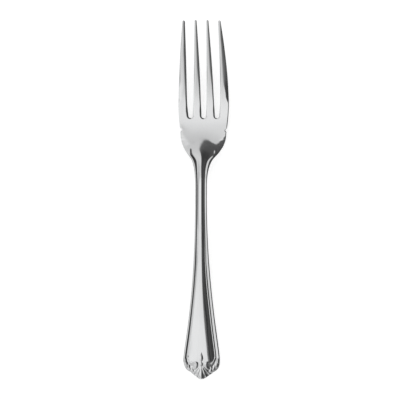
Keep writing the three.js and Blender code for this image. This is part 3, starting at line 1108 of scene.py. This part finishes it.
@dataclass
class Fork:
    """The whole fork: one struck sheet, divided into the frame's named regions."""

    form: ForkForm
    plan: ForkPlan
    steel: PolishedSteel
    regions: tuple[str, ...] = ("shell_end", "handle", "stem", "shoulders", "palm", "tine_outer_left",
                                "tine_inner_left", "tine_inner_right", "tine_outer_right")
    weld: float = 1e-7
    under_width: float = 1.1
    under_share: float = 0.9
    roll_share: float = 0.97
    least_half: float = 0.3
    least_under: float = 0.01
    slots_from: float = 120.0
    far: float = 100.0
    middle: float = 91.0
    finish: bpy.types.Material | None = None

    def edges(self) -> tuple[Array, Array]:
        """Rolls of the edges.

        Returns:
            Drop of the face towards its rim, and share by which the back rises to it, at each point.
        """
        form, plan = self.form, self.plan
        x, place = plan.x, plan.place
        outer, slots = plan.rim_lines()
        height = form.side.half_thickness(place)
        outer_gap = line_distance(x, place, outer)
        inner_edges = plan.tines.edges(Band.INNER_TINE, place)
        outer_edges = plan.tines.edges(Band.OUTER_TINE, place)
        on_outer = np.abs(x) > 0.5 * (inner_edges[1] + outer_edges[0])
        half = 0.5 * np.where(on_outer, outer_edges[1] - outer_edges[0], inner_edges[1] - inner_edges[0])
        widest = self.roll_share * np.maximum(half, self.least_half)
        width = np.minimum(eased(place, *form.slot_round), widest)
        near = place > self.slots_from
        slot_gap = np.full_like(x, self.far)
        for line in slots:
            slot_gap[near] = np.minimum(slot_gap[near], line_distance(x[near], place[near], line))
        fall = eased(place, *form.edge_fall)
        drop = edge_drop(outer_gap, eased(place, *form.outer_round), height, fall)
        drop = drop + edge_drop(slot_gap, width, height, fall)
        under = np.where(near, np.maximum(self.under_share * half, self.least_half),
                         self.under_share * plan.outline.half(place) + self.least_under)
        under = np.minimum(self.under_width, under)
        return np.minimum(drop, height), under_round(np.minimum(outer_gap, slot_gap), under)

    def region_of(self, row: Array, column: Array) -> Array:
        """Number of the region that each mesh cell belongs to.

        Args:
            row: Row of each cell.
            column: Column of each cell.

        Returns:
            Index into regions, or -1 in a slot.
        """
        rows = self.plan.place[:, 0]
        number = np.searchsorted(np.array(self.plan.cuts), 0.5 * (rows[row] + rows[row + 1]))
        above = row >= self.plan.root_row
        for slots in (True, False):
            for tine, (_, first, last) in enumerate(self.plan.bands(slots), len(self.plan.cuts) + 1):
                number[above & (column >= first) & (column < last)] = -1 if slots else tine
        return number

    def sheet(self, skin: Sheet, height: Array) -> bpy.types.Object:
        """Makes the face or the back as one sheet, open along its rim.

        Args:
            skin: Face or back.
            height: Height over the table at each point.

        Returns:
            The sheet, with each cell's region as a face attribute.
        """
        plan = self.plan
        rows, columns = plan.x.shape
        deselect_all()
        bpy.ops.mesh.primitive_grid_add(x_subdivisions=columns - 1, y_subdivisions=rows - 1, size=1.0)
        sheet = bpy.context.object
        sheet.name = f"fork_{skin.value}"
        mesh = sheet.data
        steps = np.array([columns - 1, rows - 1])
        column, row = np.rint((read(mesh.vertices, "co")[:, :2] + 0.5) * steps).astype(int).T
        cell_column, cell_row = np.floor((read(mesh.polygons, "center")[:, :2] + 0.5) * steps).astype(int).T
        grid = np.stack([plan.x, plan.place - self.middle, height], axis=2) * MM
        mesh.vertices.foreach_set("co", grid[row, column].ravel())
        number = self.region_of(cell_row, cell_column)
        mesh.attributes.new("region", "INT", "FACE").data.foreach_set("value", number)
        mesh.update()
        self.select_cells(sheet, number < 0)
        bpy.ops.mesh.delete(type="FACE")
        bpy.ops.object.mode_set(mode="OBJECT")
        if skin is Sheet.BACK:
            edit_all(bpy.ops.mesh.flip_normals)
        return sheet

    @staticmethod
    def select_cells(sheet: bpy.types.Object, chosen: Array) -> None:
        """Opens a sheet in edit mode with only the chosen faces selected.

        Args:
            sheet: The sheet, which is the active object.
            chosen: True for each face to select.
        """
        bpy.ops.object.mode_set(mode="EDIT")
        bpy.ops.mesh.select_mode(type="FACE")
        bpy.ops.mesh.select_all(action="DESELECT")
        bpy.ops.object.mode_set(mode="OBJECT")
        sheet.data.polygons.foreach_set("select", chosen)
        bpy.ops.object.mode_set(mode="EDIT")

    def weld_sheets(self, face: bpy.types.Object, back: bpy.types.Object) -> bpy.types.Object:
        """Joins face and back along their rim and keeps the smooth normals of the whole fork.

        Args:
            face: Sheet of the face.
            back: Sheet of the back.

        Returns:
            The closed fork.
        """
        activate(face, back)
        bpy.ops.object.join()
        edit_all(bpy.ops.mesh.remove_doubles, threshold=self.weld)
        bpy.ops.object.shade_smooth()
        normals = read(face.data.vertices, "normal").ravel()
        face.data.attributes.new("whole_normal", "FLOAT_VECTOR", "POINT").data.foreach_set("vector", normals)
        return face

    def divide(self, fork: bpy.types.Object) -> list[bpy.types.Object]:
        """Divides the fork into its regions, closes each cut and keeps the surface smooth across it.

        Args:
            fork: The closed fork.

        Returns:
            One object for each region.
        """
        parts = []
        for number, region in enumerate(self.regions):
            activate(fork)
            self.select_cells(fork, read(fork.data.attributes["region"].data, "value", 1) == number)
            bpy.ops.mesh.separate(type="SELECTED")
            bpy.ops.object.mode_set(mode="OBJECT")
            part = next(found for found in bpy.context.selected_objects if found is not fork)
            part.name = f"{region}_steel"
            part.data.name = part.name
            parts.append(part)
        bpy.data.objects.remove(fork)
        for part in parts:
            self.close_cuts(part)
        return parts

    def close_cuts(self, part: bpy.types.Object) -> None:
        """Caps the flat cuts of one region and sets its normals from the whole fork.

        Args:
            part: The region.
        """
        activate(part)
        skin = len(part.data.polygons)
        edit_all(bpy.ops.mesh.fill_holes, sides=0)
        mesh = part.data
        mesh.materials.append(self.finish)
        normals = read(mesh.attributes["whole_normal"].data, "vector")[read(mesh.loops, "vertex_index", 1)]
        for polygon in list(mesh.polygons)[skin:]:
            normals[polygon.loop_start:polygon.loop_start + polygon.loop_total] = polygon.normal
        for name in ("whole_normal", "region"):
            mesh.attributes.remove(mesh.attributes[name])
        mesh.normals_split_custom_set([tuple(normal) for normal in normals])

    def build(self) -> list[bpy.types.Object]:
        """Builds, divides and dresses the fork.

        Returns:
            The finished pieces.
        """
        self.finish = self.steel.build()
        drop, rise = self.edges()
        face = self.form.face(self.plan.x, self.plan.place, drop)
        back = self.form.back(self.plan.x, self.plan.place, face, rise)
        whole = self.weld_sheets(self.sheet(Sheet.FACE, face), self.sheet(Sheet.BACK, back))
        parts = self.divide(whole)
        for part in parts:
            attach(part, BODY)
            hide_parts(part.name.removesuffix("_steel"))
            LOG.info("%s: %d faces", part.name, len(part.data.polygons))
        return parts


@dataclass
class Studio:
    """White table, soft light from the left with a dark side to the room, and the camera."""

    floor_size: float = 6.0
    floor_drop: float = 0.00002
    roll: float = 10.31
    turn: float = 0.548
    aim: Pair = (-1.86, 0.104)
    distance: float = 1.5
    view_width: float = 203.34
    sensor: float = 36.0
    clip_end: float = 20.0
    floor_grey: float = 0.5
    floor_roughness: float = 0.9
    floor_glow: float = 0.6
    side_span: Pair = (-180.0, 180.0)
    length_span: Pair = (-1.0, 1.0)
    brink_turn: float = -90.0
    side_levels: Knots = (
        (-110, 0.3), (-95, 0.2), (-75, 0.28), (-60, 0.55), (-48, 0.88), (-38, 1.0), (-20, 1.0),
        (-0.5, 0.95), (0.5, 0.2), (3.8, 0.17), (6, 0.1), (8, 0.03), (10, 0.035), (12.5, 0.085), (16, 0.07),
        (22, 0.05), (38, 0.08), (58, 0.1), (72, 0.28), (90, 0.45))
    north_levels: Knots = (
        (-110, 0.3), (-95, 0.2), (-80, 0.35), (-60, 0.7), (-35, 0.76), (-22, 0.82), (-13, 0.93),
        (-0.8, 0.95), (0.8, 0.13), (5, 0.12), (10, 0.085), (20, 0.055), (30, 0.05), (45, 0.075), (62, 0.1),
        (76, 0.28), (92, 0.45))
    neck_levels: Knots = (
        *LEFT_WINDOW, (0.8, 0.13), (5, 0.075), (10, 0.05), (20, 0.04), (30, 0.055), *RIGHT_SIDE)
    chest_levels: Knots = (
        *LEFT_WINDOW, (0.8, 0.17), (5, 0.165), (10, 0.14), (19, 0.125), (28, 0.085), (36, 0.065),
        *RIGHT_SIDE)
    south_levels: Knots = (
        (-120, 0.9), (-95, 1.1), (-75, 1.2), (-50, 1.15), (-30, 1.08), (-15, 1.02), (-10, 1.0), (-7, 0.93),
        (-3.5, 0.75), (3, 0.49), (14, 0.28), (26, 0.2), (40, 0.125), (60, 0.12), (80, 0.4))
    wall_levels: Knots = ((-120, 0.5), (-60, 0.8), (0, 0.68), (50, 0.48), (90, 0.36), (120, 0.3))
    length_levels: Knots = (
        (-0.95, 1.0), (-0.62, 0.62), (-0.46, 0.59), (-0.38, 0.66), (-0.3, 0.74), (-0.18, 0.95),
        (-0.12, 1.0), (0.06, 1.0), (0.1, 0.957), (0.15, 0.91), (0.2, 0.845), (0.26, 0.745), (0.34, 0.705),
        (0.45, 0.72), (0.55, 0.73), (0.66, 0.75), (0.8, 0.75))
    brink: Knots = (
        (-0.5, 0.09), (-0.42, 0.05), (-0.34, 0.011), (-0.03, 0.008), (0.1, 0.03), (0.2, 0.058),
        (0.28, 0.078), (0.34, 0.1), (0.37, 0.111), (0.42, 0.128), (0.5, 0.157), (0.56, 0.187), (0.66, 0.24),
        (0.72, 0.262), (0.75, 0.275))
    north: Knots = ((-0.02, 0.0), (0.07, 1.0))
    wall: Knots = ((-0.68, 1.0), (-0.54, 0.0), (0.83, 0.0), (0.89, 1.0))
    neck: Knots = ((0.15, 0.0), (0.3, 1.0))
    chest: Knots = ((0.16, 0.0), (0.28, 1.0), (0.62, 1.0), (0.8, 0.0))
    south: Knots = ((-0.32, 1.0), (-0.2, 0.0))

    def lay_floor(self) -> None:
        """Lays the white table top, bright for the camera and in reflections, with a faint shadow."""
        deselect_all()
        bpy.ops.mesh.primitive_plane_add(size=self.floor_size, location=(0.0, 0.0, -self.floor_drop))
        floor = bpy.context.object
        floor.name = "table_top"
        material = bpy.data.materials.new("white_table")
        material.use_nodes = True
        board = NodeBoard(material.node_tree)
        board.feed(material.node_tree.nodes["Principled BSDF"], {
            "Base Color": (self.floor_grey, self.floor_grey, self.floor_grey, 1.0),
            "Roughness": self.floor_roughness,
            "Emission Color": (1.0, 1.0, 1.0, 1.0),
            "Emission Strength": self.seen_glow(board)})
        floor.data.materials.append(material)

    def seen_glow(self, board: NodeBoard) -> bpy.types.NodeSocket:
        """Glow of the table for the camera, mirrors and glass, and none for other light.

        Args:
            board: Nodes of the table's material.

        Returns:
            Socket with the strength.
        """
        rays = board.add("LightPath").outputs
        seen = rays["Is Camera Ray"]
        for name in ("Is Glossy Ray", "Is Transmission Ray"):
            seen = board.maths("MAXIMUM", seen, rays[name])
        return board.maths("MULTIPLY", seen, self.floor_glow)

    def mirrored_level(self, board: NodeBoard) -> bpy.types.NodeSocket:
        """Grey level of the studio in each direction that the steel mirrors.

        Args:
            board: Nodes of the world.

        Returns:
            Socket with the level.
        """
        way = board.add("SeparateXYZ", {"Vector": board.add("TexCoord").outputs["Generated"]}).outputs
        side = board.maths("DEGREES", board.maths("ARCTAN2", way["X"], way["Z"]))
        brink = board.ramp(way["Y"], self.length_span, self.brink)
        across = board.maths("SUBTRACT", side, board.maths("MULTIPLY", brink, self.brink_turn))
        level = board.ramp(across, self.side_span, self.side_levels)
        for share, levels in ((self.north, self.north_levels), (self.neck, self.neck_levels),
                              (self.chest, self.chest_levels), (self.south, self.south_levels),
                              (self.wall, self.wall_levels)):
            level = board.blend("MIX", board.ramp(way["Y"], self.length_span, share), level,
                                board.ramp(across, self.side_span, levels))
        return board.blend("MULTIPLY", 1.0, level, board.ramp(way["Y"], self.length_span, self.length_levels))

    def light(self) -> None:
        """White surroundings for the camera and the table, and the studio that the steel mirrors."""
        world = bpy.data.worlds.new("studio")
        bpy.context.scene.world = world
        world.use_nodes = True
        board = NodeBoard(world.node_tree)
        world.node_tree.nodes.clear()
        white = board.add("Background", {"Color": (1.0, 1.0, 1.0, 1.0)})
        mirrored = board.add("Background", {"Color": self.mirrored_level(board)})
        mix = board.add("MixShader", {
            "Fac": board.add("LightPath").outputs["Is Glossy Ray"],
            1: white.outputs["Background"], 2: mirrored.outputs["Background"]})
        board.add("OutputWorld", {"Surface": mix.outputs["Shader"]})

    def place_camera(self) -> None:
        """Sets the camera above the fork, rolled a little to its right side."""
        roll, turn = math.radians(self.roll), math.radians(self.turn)
        back = Vector((math.sin(roll), 0.0, math.cos(roll)))
        right = Vector((math.cos(roll), 0.0, -math.sin(roll)))
        up = Vector((0.0, 1.0, 0.0))
        spin = Matrix.Rotation(turn, 3, back)
        right, up = spin @ right, spin @ up
        target = (right * self.aim[0] + up * self.aim[1]) * MM
        data = bpy.data.cameras.new("camera")
        data.sensor_width = self.sensor
        data.lens = self.sensor * self.distance / (self.view_width * MM)
        data.clip_end = self.clip_end
        camera = bpy.data.objects.new("camera", data)
        bpy.context.scene.collection.objects.link(camera)
        turned = Matrix((right, up, back)).transposed().to_4x4()
        camera.matrix_world = Matrix.Translation(target + back * self.distance) @ turned
        bpy.context.scene.camera = camera

    def build(self) -> None:
        """Sets up the table, the light and the camera."""
        self.lay_floor()
        self.light()
        self.place_camera()
        bpy.context.scene.view_settings.view_transform = "Standard"


def region_cuts(middle: float) -> tuple[float, ...]:
    """Places where the frame divides the fork, from the boxes of its nodes.

    Args:
        middle: Place of the frame's origin.

    Returns:
        Ends of the shell end, handle, stem, shoulders.
    """
    return tuple(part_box(name)[1][1] / MM + middle for name in ("shell_end", "handle", "stem", "shoulders"))


def main() -> None:
    """Builds the fork and the studio."""
    logging.basicConfig(level=logging.INFO, format="%(message)s")
    outline = Outline()
    border = ThreadBorder(outline)
    tines = TineSet(outline)
    form = ForkForm(SideProfile(), outline, border, ShellEnd())
    plan = ForkPlan(outline, tines, border, region_cuts(Fork.middle))
    Fork(form, plan, PolishedSteel()).build()
    Studio().build()


if __name__ == "__main__":
    main()
